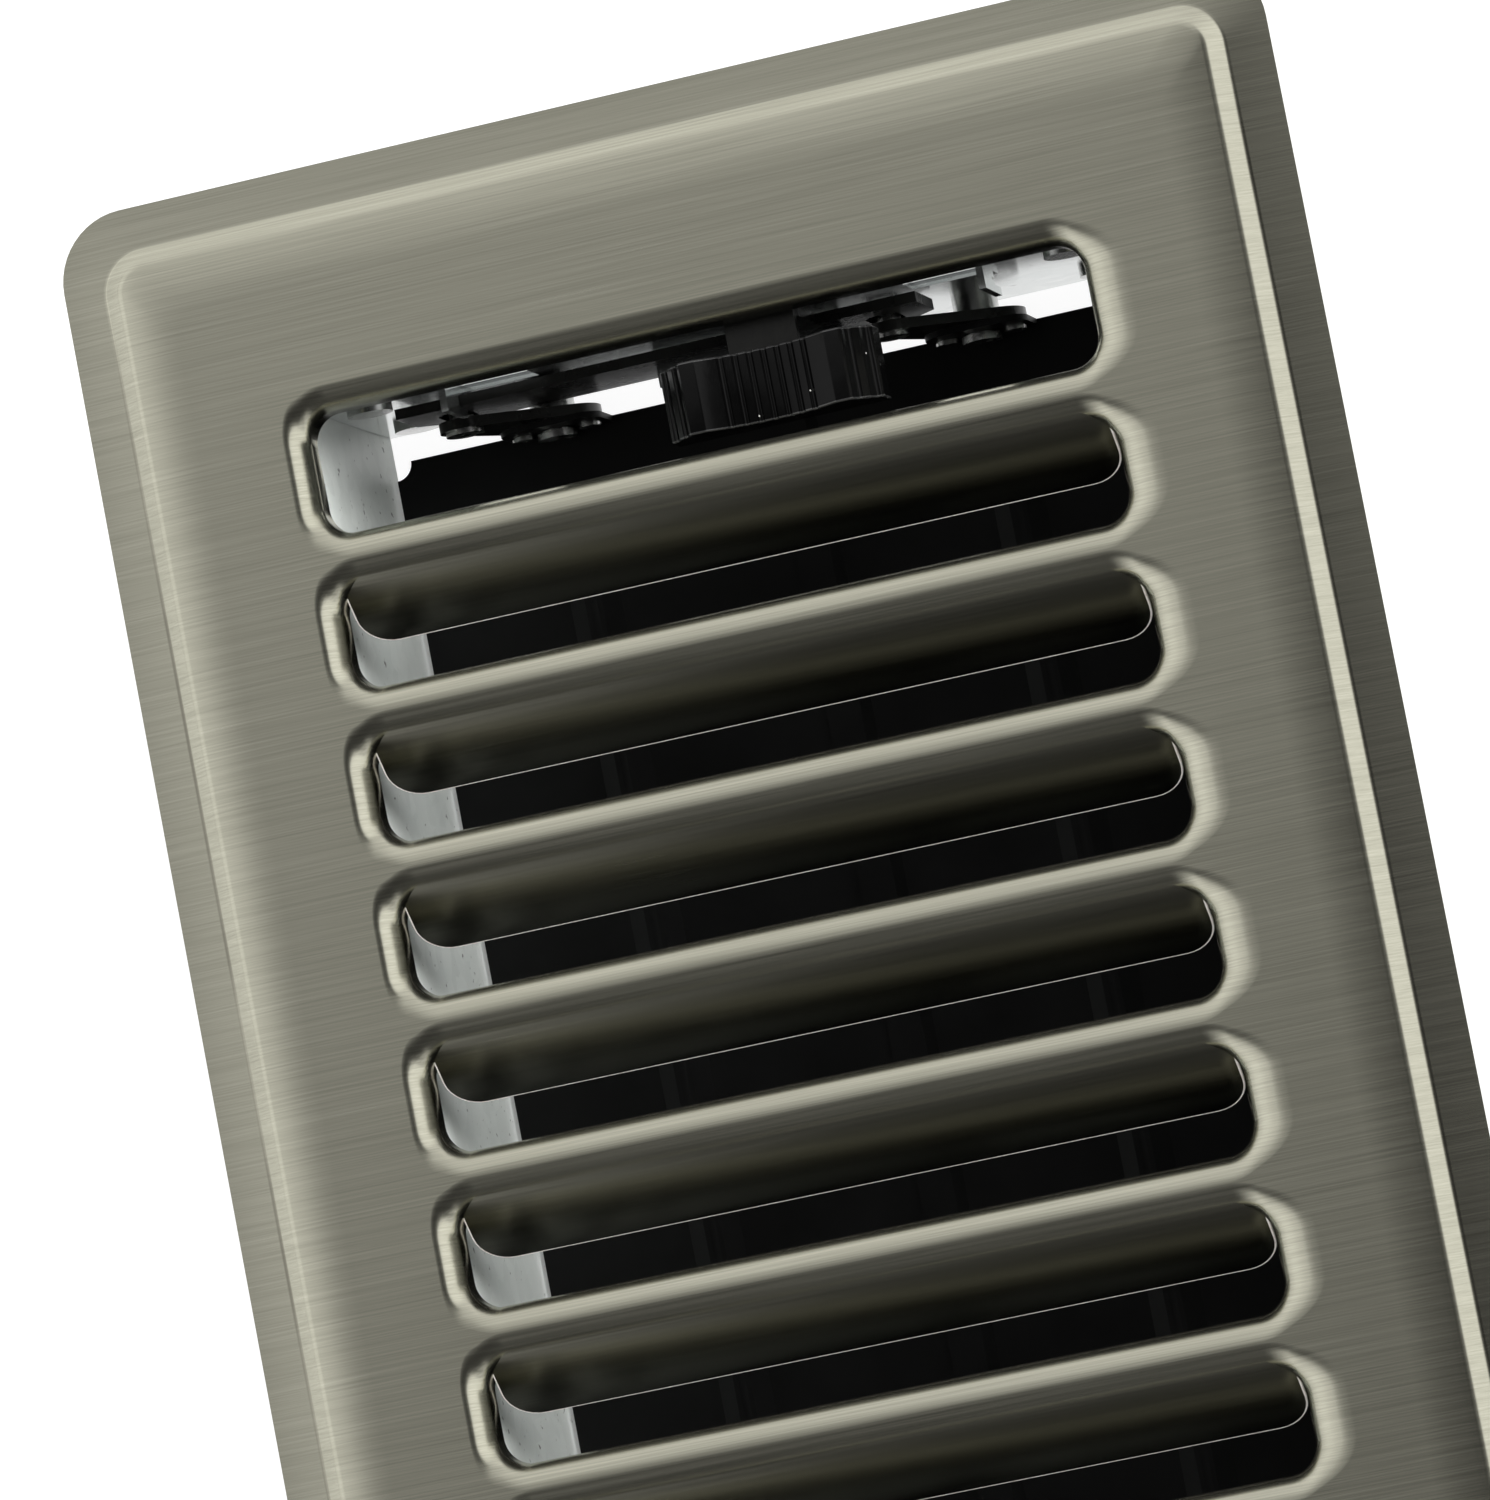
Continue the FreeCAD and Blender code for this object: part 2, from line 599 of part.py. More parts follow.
def add_guides(body, label):
    """Two fins folded out of their windows, notched over the slide bar, and two ledges below it."""
    root = "sizes.wall_y + sizes.box_sheet"
    tip = "sizes.wall_y - sizes.guide_reach"
    bar_back = "sizes.slide_face + sizes.guide_gap"
    bar_front = "sizes.slide_face - sizes.slide_sheet - sizes.guide_gap"
    low = "sizes.slide_high - sizes.guide_lap"
    roof = "sizes.slide_high + sizes.guide_gap"
    high = "sizes.slide_high + sizes.guide_rise"
    for name, hand in (("right", 1), ("left", -1)):
        fin = new_sketch(body, f"{label}_fin_{name}", "YZ_Plane", f"{hand} * sizes.guide_spacing / 2")
        draw_outline(fin, [(root, low), (root, high), (tip, high), (tip, low), (bar_front, low),
                           (bar_front, roof), (bar_back, roof), (bar_back, low)])
        add_pad(body, f"{label}_guide_{name}", fin, "sizes.box_sheet", reverse=hand < 0)
        ledge = new_sketch(body, f"{label}_ledge_{name}", "XY_Plane", "sizes.slide_low - sizes.guide_gap")
        draw_rectangle(ledge, f"{hand} * sizes.ledge_inset",
                       f"{hand} * (sizes.ledge_inset + sizes.ledge_length)", tip, root)
        add_pad(body, f"{label}_rest_{name}", ledge, "sizes.box_sheet", reverse=True)


def build_box_rivets():
    """Eight rivets through the end tabs and end plates."""
    body = new_body("box_rivets")
    back = "sizes.wall_y + 2 * sizes.box_sheet"
    tail = "sizes.wall_y - sizes.rivet_head_height"
    for name, end in (("lever", 1), ("far", -1)):
        for part, start, length, diameter in (
                ("shank", "sizes.wall_y", "2 * sizes.box_sheet", "sizes.rivet_diameter"),
                ("head", back, "sizes.rivet_head_height", "sizes.rivet_head"),
                ("tail", tail, "sizes.rivet_head_height", "sizes.rivet_head")):
            outline = new_sketch(body, f"rivet_{part}_{name}", "XZ_Plane", f"{end} * ({start})")
            for hand in (1, -1):
                for height in ("sizes.rivet_low", "sizes.rivet_high"):
                    draw_circle(outline, f"{hand} * (sizes.wall_x - sizes.rivet_inset)", height, diameter)
            add_pad(body, f"rivet_{part}s_{name}", outline, length, reverse=end > 0)
    doc.recompute()
    return body


def build_blade(label, side):
    """Damper blade with a bead stamped up over its pivots and an ear turned up at each end."""
    body = new_body(label)
    hand = "1" if side > 0 else "-1"
    under = "sizes.blade_top - sizes.blade_sheet"
    outer_edge = f"{hand} * (sizes.wall_x - sizes.blade_side_gap)"
    inner_edge = f"-1 * {hand} * sizes.blade_overlap"
    pivot = f"{hand} * sizes.pivot_x"
    upper = [(outer_edge, "sizes.blade_top")]
    if side > 0:
        upper += [(f"{inner_edge} + sizes.joggle_width + sizes.joggle_height", "sizes.blade_top"),
                  (f"{inner_edge} + sizes.joggle_width", "sizes.blade_top + sizes.joggle_height"),
                  (inner_edge, "sizes.blade_top + sizes.joggle_height")]
    else:
        upper.append((inner_edge, "sizes.blade_top"))
    lower = [(across, f"{height} - sizes.blade_sheet") for across, height in reversed(upper)]
    section = new_sketch(body, f"{label}_section", "XZ_Plane", "0")
    draw_outline(section, upper + lower)
    add_pad(body, f"{label}_sheet", section, "2 * sizes.blade_end", middle=True)
    half_bead = "(sizes.blade_end - sizes.bead_setback)"
    for part, height in (("crown", "sizes.blade_top"), ("hollow", under)):
        outline = new_sketch(body, f"{label}_bead_{part}", "XY_Plane", height)
        draw_rectangle(outline, f"{pivot} - sizes.bead_width / 2", f"{pivot} + sizes.bead_width / 2",
                       f"-1 * {half_bead}", half_bead)
        if part == "crown":
            bead = add_pad(body, f"{label}_{part}", outline, "sizes.bead_height")
            bead.setExpression("TaperAngle", "-1 * sizes.bead_slope")
        else:
            doc.recompute()
            bead = body.newObject("PartDesign::Pocket", f"{label}_{part}")
            bead.Profile = outline
            bead.Reversed = True
            bead.setExpression("Length", "sizes.bead_height")
            bead.setExpression("TaperAngle", "-1 * sizes.bead_slope")
    notches = new_sketch(body, f"{label}_corner_notches", "XY_Plane", "sizes.blade_top")
    for end in (1, -1):
        draw_circle(notches, outer_edge, f"{end} * sizes.blade_end", "2 * sizes.corner_notch")
    add_pocket(body, f"{label}_notches", notches)
    for name, end in (("lever", 1), ("far", -1)):
        ear = new_sketch(body, f"{label}_{name}_ear", "XZ_Plane", f"{end} * sizes.blade_end")
        left = f"{pivot} - sizes.ear_width / 2"
        right = f"{pivot} + sizes.ear_width / 2"
        draw_rectangle(ear, left, right, under, "sizes.pivot_height + sizes.ear_top")
        add_pad(body, f"{label}_{name}_tab", ear, "sizes.blade_sheet", reverse=end < 0)
        doc.recompute()
    ear_z = value("sizes.pivot_height + sizes.ear_top")
    add_fillet(body, f"{label}_ear_corners", body.Tip, "sizes.ear_corner",
               lambda edge: along(edge, AXIS_Y) and near(edge.CenterOfMass.z, ear_z))
    bores = new_sketch(body, f"{label}_pivot_bores", "XZ_Plane", "0")
    draw_circle(bores, pivot, "sizes.pivot_height", "sizes.pivot_pin + 2 * sizes.running_gap")
    add_pocket(body, f"{label}_pivot_holes", bores)
    crank_holes = new_sketch(body, f"{label}_crank_holes", "XZ_Plane", "sizes.blade_end")
    for turn in (1, -1):
        draw_circle(crank_holes, f"{pivot} + {turn} * sizes.crank_rivet_spread", "sizes.pivot_height",
                    "sizes.crank_rivet")
    add_pocket(body, f"{label}_crank_bores", crank_holes, "sizes.blade_sheet", reverse=True)
    doc.recompute()
    return body


def place_on_pivot(body, side):
    """Puts a piece drawn upright about the pivot axis where it stands with the damper closed."""
    hand = "1" if side > 0 else "-1"
    body.setExpression("Placement.Base.x", f"{hand} * sizes.pivot_x")
    body.setExpression("Placement.Base.z", "sizes.pivot_height")
    body.setExpression("Placement.Rotation.Axis.y", "1")
    body.setExpression("Placement.Rotation.Axis.z", "0")
    body.setExpression("Placement.Rotation.Angle", "-1 * sizes.swing_angle")
    doc.recompute()


def rivet_place(turn):
    """Where a crank's rivet is on the upright crank, so that it ends level with the pivot."""
    return (f"{turn} * sizes.crank_rivet_spread * cos(sizes.swing_angle)",
            f"-1 * {turn} * sizes.crank_rivet_spread * sin(sizes.swing_angle)")


def build_crank(label, side):
    """Flat crank: a hub round the pivot and an arm up to the pin hole."""
    body = new_body(label)
    hub = new_sketch(body, f"{label}_hub_outline", "XZ_Plane", "sizes.blade_end")
    draw_circle(hub, "0", "0", "2 * sizes.crank_hub")
    add_pad(body, f"{label}_hub", hub, "sizes.crank_sheet", reverse=True)
    tip = new_sketch(body, f"{label}_tip_outline", "XZ_Plane", "sizes.blade_end")
    draw_circle(tip, "0", "sizes.crank_radius", "2 * sizes.crank_tip")
    add_pad(body, f"{label}_tip", tip, "sizes.crank_sheet", reverse=True)
    lean = "asin((sizes.crank_hub - sizes.crank_tip) / sizes.crank_radius)"
    arm = new_sketch(body, f"{label}_arm_outline", "XZ_Plane", "sizes.blade_end")
    wide, narrow = "sizes.crank_hub", "sizes.crank_tip"
    draw_outline(arm, [(f"-({wide}) * cos({lean})", f"{wide} * sin({lean})"),
                       (f"{wide} * cos({lean})", f"{wide} * sin({lean})"),
                       (f"{narrow} * cos({lean})", f"sizes.crank_radius + {narrow} * sin({lean})"),
                       (f"-({narrow}) * cos({lean})", f"sizes.crank_radius + {narrow} * sin({lean})")])
    add_pad(body, f"{label}_arm", arm, "sizes.crank_sheet", reverse=True)
    bores = new_sketch(body, f"{label}_holes", "XZ_Plane", "sizes.blade_end")
    draw_circle(bores, "0", "0", "sizes.pivot_pin + 2 * sizes.running_gap")
    draw_circle(bores, "0", "sizes.crank_radius", "sizes.crank_pin")
    for turn in (1, -1):
        draw_circle(bores, *rivet_place(turn), "sizes.crank_rivet")
    add_pocket(body, f"{label}_bores", bores)
    place_on_pivot(body, side)
    return body


def build_crank_rivets(label, side):
    """Two small rivets that hold the crank to the blade's ear."""
    body = new_body(label)
    ear_face = "sizes.blade_end - sizes.blade_sheet"
    cap_face = f"{ear_face} - sizes.crank_rivet_head"
    for part, start, length, diameter in (
            ("shank", ear_face, "sizes.blade_sheet + sizes.crank_sheet", "sizes.crank_rivet"),
            ("head", cap_face, "sizes.crank_rivet_head", "sizes.crank_rivet_cap")):
        outline = new_sketch(body, f"{label}_{part}", "XZ_Plane", start)
        for turn in (1, -1):
            draw_circle(outline, *rivet_place(turn), diameter)
        add_pad(body, f"{label}_{part}s", outline, length, reverse=True)
    place_on_pivot(body, side)
    return body


def build_crank_pin(label, side):
    """Headed pin riveted into the crank's tip; it rides in the slide bar's upright slot."""
    body = new_body(label)
    shank = new_sketch(body, f"{label}_shank_outline", "XZ_Plane", "sizes.blade_end")
    draw_circle(shank, "0", "sizes.crank_radius", "sizes.crank_pin")
    reach = "sizes.slide_face - sizes.blade_end + sizes.guide_gap"
    add_pad(body, f"{label}_shank", shank, reach, reverse=True)
    head = new_sketch(body, f"{label}_head_outline", "XZ_Plane", "sizes.blade_end - sizes.crank_rivet_head")
    draw_circle(head, "0", "sizes.crank_radius", "sizes.crank_pin_head")
    add_pad(body, f"{label}_head", head, "sizes.crank_rivet_head", reverse=True)
    place_on_pivot(body, side)
    return body


def build_pivot_pin(label, side, end):
    """Shouldered rivet fixed in the end wall; the blade's ear turns on its inner end."""
    body = new_body(label)
    outer = "sizes.wall_y + sizes.box_sheet"
    ear_face = "sizes.blade_end - sizes.blade_sheet"
    crank = "sizes.crank_sheet" if end > 0 else "0"
    shoulder = f"sizes.blade_end + {crank} + sizes.guide_gap"
    inner = f"{ear_face} - sizes.guide_gap"
    across = f"{side} * sizes.pivot_x"
    for part, start, finish, diameter in (
            ("shank", inner, outer, "sizes.pivot_pin"),
            ("head", outer, f"{outer} + sizes.pivot_head_height", "sizes.pivot_head"),
            ("shoulder", shoulder, "sizes.wall_y", "sizes.pivot_shoulder"),
            ("stake", f"{inner} - sizes.pivot_head_height", inner, "sizes.pivot_stake")):
        outline = new_sketch(body, f"{label}_{part}_outline", "XZ_Plane", f"{end} * ({start})")
        draw_circle(outline, across, "sizes.pivot_height", diameter)
        add_pad(body, f"{label}_{part}", outline, f"({finish}) - ({start})", reverse=end > 0)
    doc.recompute()
    return body


def build_slide_bar():
    """Bar on edge with an upright slot for each crank pin and a folded tongue for the knob."""
    body = new_body("slide_bar")
    left = "-1 * sizes.pivot_x - sizes.pin_reach - sizes.slot_half - sizes.slide_end"
    right = "sizes.pivot_x - sizes.pin_reach + sizes.slot_half + sizes.slide_end"
    riser_left = "sizes.knob_rest - sizes.tongue_width / 2"
    riser_right = "sizes.knob_rest + sizes.tongue_width / 2"
    tongue_top = "sizes.rim_plane - sizes.tongue_depth + sizes.tongue_sheet"
    bar = new_sketch(body, "slide_bar_outline", "XZ_Plane", "sizes.slide_face")
    draw_outline(bar, [(left, "sizes.slide_low + sizes.slide_rise"),
                       (f"{left} + sizes.slide_rise", "sizes.slide_low"),
                       (f"{right} - sizes.slide_rise", "sizes.slide_low"),
                       (right, "sizes.slide_low + sizes.slide_rise"),
                       (right, "sizes.slide_high"), (riser_right, "sizes.slide_high"),
                       (riser_right, tongue_top), (riser_left, tongue_top),
                       (riser_left, "sizes.slide_high"), (left, "sizes.slide_high")])
    add_pad(body, "slide_bar_web", bar, "sizes.slide_sheet")
    slots = new_sketch(body, "slide_bar_slots", "XZ_Plane", "sizes.slide_face")
    for hand in (1, -1):
        centre = f"({hand} * sizes.pivot_x - sizes.pin_reach)"
        draw_rounded(slots, f"{centre} - sizes.slot_half", f"{centre} + sizes.slot_half",
                     "sizes.pin_low - sizes.slot_half", "sizes.pin_high + sizes.slot_half",
                     "sizes.slot_round")
    add_pocket(body, "slide_bar_pin_slots", slots)
    tongue = new_sketch(body, "slide_bar_tongue_outline", "XY_Plane", tongue_top)
    draw_rectangle(tongue, riser_left, riser_right, "sizes.knob_low + sizes.knob_setback",
                   "sizes.slide_face")
    tongue_pad = add_pad(body, "slide_bar_tongue", tongue, "sizes.tongue_sheet", reverse=True)
    doc.recompute()
    fold_y = value("sizes.slide_face")
    fold_z = value(tongue_top)
    add_fillet(body, "slide_bar_fold", tongue_pad, "sizes.slide_fold",
               lambda edge: along(edge, AXIS_X) and near(edge.CenterOfMass.y, fold_y)
               and near(edge.CenterOfMass.z, fold_z))
    doc.recompute()
    return body


def build_thumb_knob():
    """Moulded knob: two flat horns, a ribbed hollow for the thumb between them and ribbed flanks."""
    body = new_body("thumb_knob")
    middle = "sizes.knob_rest"
    low = "sizes.rim_plane - sizes.knob_bottom"
    high = "sizes.rim_plane + sizes.knob_top"
    half = "sizes.knob_width / 2"
    shoulder = "sizes.knob_shoulder / 2"
    base = f"{low} + sizes.knob_base"
    profile = new_sketch(body, "thumb_knob_profile", "XZ_Plane", "sizes.knob_low")
    draw_outline(profile, [(f"{middle} - {half}", low), (f"{middle} + {half}", low),
                           (f"{middle} + {half}", base),
                           (f"{middle} + {shoulder}", high), (f"{middle} - {shoulder}", high),
                           (f"{middle} - {half}", base)])
    add_pad(body, "thumb_knob_block", profile, "sizes.knob_depth", reverse=True)
    valley = new_sketch(body, "thumb_knob_valley", "XZ_Plane", "sizes.knob_low")
    draw_circle(valley, middle, "sizes.valley_centre", "2 * sizes.valley_radius")
    add_pocket(body, "thumb_knob_hollow", valley)
    grooves = new_sketch(body, "thumb_knob_grooves", "XZ_Plane", "sizes.knob_low")
    for index in range(size["valley_grooves"]):
        step = f"({index} - (sizes.valley_grooves - 1) / 2)"
        turn = f"({step} * sizes.rib_pitch / sizes.valley_radius * 180 / pi)"
        draw_circle(grooves, f"{middle} + sizes.valley_radius * sin({turn})",
                    f"sizes.valley_centre - sizes.valley_radius * cos({turn})", "2 * sizes.rib_groove")
    for hand in (1, -1):
        for index in range(size["flank_grooves"]):
            share = f"({index + 1} / (sizes.flank_grooves + 1))"
            draw_circle(grooves, f"{middle} + {hand} * ({half} + ({shoulder} - {half}) * {share})",
                        f"{base} + ({high} - ({base})) * {share}", "2 * sizes.rib_groove")
    add_pocket(body, "thumb_knob_ribs", grooves)
    pocket = new_sketch(body, "thumb_knob_tongue_slot", "XY_Plane", "sizes.rim_plane - sizes.tongue_depth")
    draw_rectangle(pocket, f"{middle} - sizes.tongue_width / 2", f"{middle} + sizes.tongue_width / 2",
                   "sizes.knob_low + sizes.knob_setback", f"sizes.knob_low + sizes.knob_depth + {CUT_RUN}")
    add_pocket(body, "thumb_knob_socket", pocket, "sizes.tongue_sheet", reverse=True)
    return body


def build_register():
    """Every piece by its node name."""
    nodes = {
        "faceplate": build_faceplate(),
        "side_panel_left": build_side_panel("side_panel_left", -1),
        "side_panel_right": build_side_panel("side_panel_right", 1),
        "lever_end_plate": build_end_plate("lever_end_plate", 1),
        "far_end_plate": build_end_plate("far_end_plate", -1),
        "box_rivets": build_box_rivets(),
        "slide_bar": build_slide_bar(),
        "thumb_knob": build_thumb_knob(),
    }
    for name, side in (("left", -1), ("right", 1)):
        nodes[f"damper_blade_{name}"] = build_blade(f"damper_blade_{name}", side)
        nodes[f"crank_{name}"] = build_crank(f"crank_{name}", side)
        nodes[f"crank_rivets_{name}"] = build_crank_rivets(f"crank_rivets_{name}", side)
        nodes[f"crank_pin_{name}"] = build_crank_pin(f"crank_pin_{name}", side)
        for place, end in (("lever", 1), ("far", -1)):
            label = f"pivot_pin_{place}_{name}"
            nodes[label] = build_pivot_pin(label, side, end)
    return nodes


nodes = build_register()
doc.recompute()
for item in doc.Objects:
    if "Invalid" in item.State or "Error" in item.State:
        raise RuntimeError(f"{item.Name} failed: {item.State}")
for label, item in nodes.items():
    if item.Shape.isNull() or not item.Shape.isValid() or not item.Shape.Solids:
        raise RuntimeError(f"{label} has no valid solid")
    item.Shape.exportStep(f"parts/{label}.step")
    print(label, len(item.Shape.Solids), round(item.Shape.Volume, 1))
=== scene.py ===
import math

import bmesh
import bpy
from mathutils import Matrix, Vector


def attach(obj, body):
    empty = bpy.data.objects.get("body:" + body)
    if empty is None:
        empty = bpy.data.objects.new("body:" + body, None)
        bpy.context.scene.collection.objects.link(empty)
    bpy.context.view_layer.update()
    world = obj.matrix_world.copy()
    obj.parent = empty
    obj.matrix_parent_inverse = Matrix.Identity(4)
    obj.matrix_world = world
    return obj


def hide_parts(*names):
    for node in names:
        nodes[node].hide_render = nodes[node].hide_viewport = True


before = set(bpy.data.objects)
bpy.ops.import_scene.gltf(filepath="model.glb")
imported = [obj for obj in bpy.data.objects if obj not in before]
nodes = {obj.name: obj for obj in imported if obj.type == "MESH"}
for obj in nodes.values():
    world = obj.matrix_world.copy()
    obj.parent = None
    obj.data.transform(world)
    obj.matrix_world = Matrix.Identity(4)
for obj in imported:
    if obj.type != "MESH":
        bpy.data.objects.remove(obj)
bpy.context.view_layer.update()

scene = bpy.context.scene
scene.view_settings.view_transform = "Standard"
MM = 0.001

# Camera. It stands a metre up, off the right side of the plate, and looks down to the left and towards
# the lever end through a long lens, so the plate runs out of the frame at the top right, the right
# and the bottom.
camera_data = bpy.data.cameras.new("camera")
camera_data.sensor_width = 36.0
camera_data.lens = 230.49
camera_data.clip_start = 0.05
camera = bpy.data.objects.new("camera", camera_data)
camera.rotation_mode = "ZYX"
camera.rotation_euler = (0.110814924, 0.230342074, -0.215122247)
camera_turn = camera.rotation_euler.to_matrix()
plate_in_view = Vector((16.3336, -69.4107, -1046.0963))
plate_place = Vector((0, 2.2, 38.1))
camera.location = (camera_turn @ -plate_in_view + plate_place) * MM
scene.collection.objects.link(camera)
scene.camera = camera


# Studio. Its left side and the side beyond the lever end are lit all the way up, the right side only
# low down, and the near side is dark. The ceiling is dark and brightens to the far left, so the
# brushed metal shades from left to right.
def place_node(tree, kind, inputs=None, **settings):
    """A shader node; each input is a number, a colour or a socket to link from."""
    node = tree.nodes.new(kind)
    for name, setting in settings.items():
        setattr(node, name, setting)
    for name, given in (inputs or {}).items():
        if isinstance(given, bpy.types.NodeSocket):
            tree.links.new(given, node.inputs[name])
        else:
            node.inputs[name].default_value = given
    return node


def place_math(tree, operation, first, second=0.0, clamp=False):
    """The result of one sum on two numbers or sockets."""
    node = place_node(tree, "ShaderNodeMath", {0: first, 1: second}, operation=operation,
                      use_clamp=clamp)
    return node.outputs[0]


def place_mix(tree, share, first, second, blend="MIX"):
    """The second colour mixed over the first, or multiplied into it, by a share."""
    node = place_node(tree, "ShaderNodeMixRGB", {"Fac": share, "Color1": first, "Color2": second},
                      blend_type=blend)
    return node.outputs[0]


def place_ramp(tree, factor, stops):
    """A ramp through (position, colour or grey) stops."""
    node = place_node(tree, "ShaderNodeValToRGB", {"Fac": factor})
    ramp = node.color_ramp
    ramp.elements.remove(ramp.elements[1])
    for index, (position, tone) in enumerate(stops):
        stop = ramp.elements[0] if index == 0 else ramp.elements.new(position)
        stop.position = position
        stop.color = (*tone, 1.0) if isinstance(tone, tuple) else (tone, tone, tone, 1.0)
    return node.outputs["Color"]


world = bpy.data.worlds.new("studio")
world.use_nodes = True
scene.world = world
sky = world.node_tree
sky.nodes.clear()
direction = place_node(sky, "ShaderNodeTexCoord").outputs["Generated"]
split = place_node(sky, "ShaderNodeSeparateXYZ", {0: direction})
across, along, up = (split.outputs[index] for index in range(3))
flat_x = place_math(sky, "MULTIPLY", across, across)
flat_y = place_math(sky, "MULTIPLY", along, along)
flat = place_math(sky, "MAXIMUM", place_math(sky, "ADD", flat_x, flat_y), 0.0001)
share_x = place_ramp(sky, place_math(sky, "DIVIDE", flat_x, flat), [(0.12, 0.0), (0.6, 1.0)])
side_left = place_ramp(sky, up, [(0.0, 0.68), (0.1, 0.72), (0.4, 0.92), (0.6, 0.9), (0.8, 0.7)])
side_right = place_ramp(sky, up, [(0.0, 1.1), (0.5, 1.05), (0.62, 0.9), (0.72, 0.16), (0.9, 0.08)])
side_far = place_ramp(sky, up, [(0.0, 0.8), (0.3, 0.8), (0.5, 0.75), (0.8, 0.66)])
side_near = place_ramp(sky, up, [(0.0, 0.07), (0.5, 0.06), (0.8, 0.05)])
slant = place_math(sky, "ADD", place_math(sky, "MULTIPLY", across, -0.42),
                   place_math(sky, "MULTIPLY", along, 0.9))
ceiling = place_ramp(sky, place_math(sky, "ADD", slant, 0.5),
                     [(0.2, 0.04), (0.5, 0.045), (0.57, 0.095), (0.62, 0.185), (0.66, 0.29), (0.7, 0.38),
                      (0.75, 0.395), (0.9, 0.45), (0.97, 0.61)])
lift = place_ramp(sky, place_math(sky, "MULTIPLY", across, -1.0),
                  [(0.3, 0.0), (0.475, 0.0), (0.54, 0.3), (0.62, 0.38)])
ceiling = place_math(sky, "ADD", ceiling, lift)
overhead = place_ramp(sky, up, [(0.78, 0.0), (0.92, 1.0)])
is_right = place_math(sky, "GREATER_THAN", across, 0.0)
is_far = place_math(sky, "GREATER_THAN", along, 0.0)
sides = place_mix(sky, is_right, side_left, side_right)
ends = place_mix(sky, is_far, side_near, side_far)
walls = place_mix(sky, share_x, ends, sides)
room = place_mix(sky, overhead, walls, ceiling)

# Matt surfaces take an even grey light from it, and the camera sees it white.
path = place_node(sky, "ShaderNodeLightPath")
soft = place_mix(sky, path.outputs["Is Diffuse Ray"], room, (0.4, 0.4, 0.4, 1))
seen = place_mix(sky, path.outputs["Is Camera Ray"], soft, (1, 1, 1, 1))
glow = place_node(sky, "ShaderNodeBackground", {"Color": seen, "Strength": 1.0})
place_node(sky, "ShaderNodeOutputWorld", {"Surface": glow.outputs[0]})

# Two wide soft lamps light the matt surfaces, one from the far right down along the louvres into the
# box and a weaker one from over the near side. The metals don't mirror them.
for label, place, energy in (("key", (0.6, 0.62, 0.85), 36.0), ("fill", (0.15, -0.5, 1.15), 9.0)):
    lamp_data = bpy.data.lights.new(label, "AREA")
    lamp_data.energy = energy
    lamp_data.size = 1.0
    lamp = bpy.data.objects.new(label, lamp_data)
    lamp.location = place
    lamp.rotation_euler = (-Vector(place)).to_track_quat("-Z", "Y").to_euler()
    lamp.visible_glossy = False
    scene.collection.objects.link(lamp)


def make_material(name):
    """A new material with one shader, with its tree, the shader and its object coordinates."""
    material = bpy.data.materials.new(name)
    material.use_nodes = True
    tree = material.node_tree
    tree.nodes.clear()
    shader = place_node(tree, "ShaderNodeBsdfPrincipled")
    place_node(tree, "ShaderNodeOutputMaterial", {"Surface": shader.outputs[0]})
    place = place_node(tree, "ShaderNodeTexCoord").outputs["Object"]
    return material, tree, shader, place


hard_edge = math.radians(38)


def finish_object(form, name, material):
    """Turns a form drawn in millimetres into a smooth object in metres, with its hard edges kept."""
    bmesh.ops.scale(form, vec=(MM, MM, MM), verts=form.verts)
    mesh = bpy.data.meshes.new(name)
    form.to_mesh(mesh)
    form.free()
    mesh.shade_smooth()
    mesh.set_sharp_from_angle(angle=hard_edge)
    mesh.materials.append(material)
    piece = bpy.data.objects.new(name, mesh)
    scene.collection.objects.link(piece)
    return piece


# The floor is a plain sheet of white paper. Seen straight or in a mirror it glows white, which leaves
# the object's shadow on it hardly visible, and it lights the object as matt paper does.
floor_form = bmesh.new()
bmesh.ops.create_grid(floor_form, x_segments=1, y_segments=1, size=6000)
floor_material, floor_tree, floor_shader, _ = make_material("white_paper")
floor_shader.inputs["Base Color"].default_value = (0.8, 0.8, 0.8, 1)
floor_shader.inputs["Roughness"].default_value = 0.9
floor_shader.inputs["Specular IOR Level"].default_value = 0.0
floor_path = place_node(floor_tree, "ShaderNodeLightPath")
floor_seen = place_math(floor_tree, "ADD", floor_path.outputs["Is Camera Ray"],
                        floor_path.outputs["Is Glossy Ray"])
floor_seen = place_math(floor_tree, "ADD", floor_seen, floor_path.outputs["Is Transmission Ray"],
                        clamp=True)
floor_glow = place_node(floor_tree, "ShaderNodeEmission", {"Color": (0.93, 0.93, 0.93, 1)})
floor_matt = place_node(floor_tree, "ShaderNodeBsdfDiffuse", {"Color": (0.2, 0.2, 0.2, 1)})
floor_sum = place_node(floor_tree, "ShaderNodeAddShader", {0: floor_glow.outputs[0],
                                                           1: floor_matt.outputs[0]})
floor_mix = place_node(floor_tree, "ShaderNodeMixShader", {0: floor_seen, 1: floor_shader.outputs[0],
                                                           2: floor_sum.outputs[0]})
floor_out = next(node for node in floor_tree.nodes if node.type == "OUTPUT_MATERIAL")
floor_tree.links.new(floor_mix.outputs[0], floor_out.inputs["Surface"])
floor = finish_object(floor_form, "floor", floor_material)

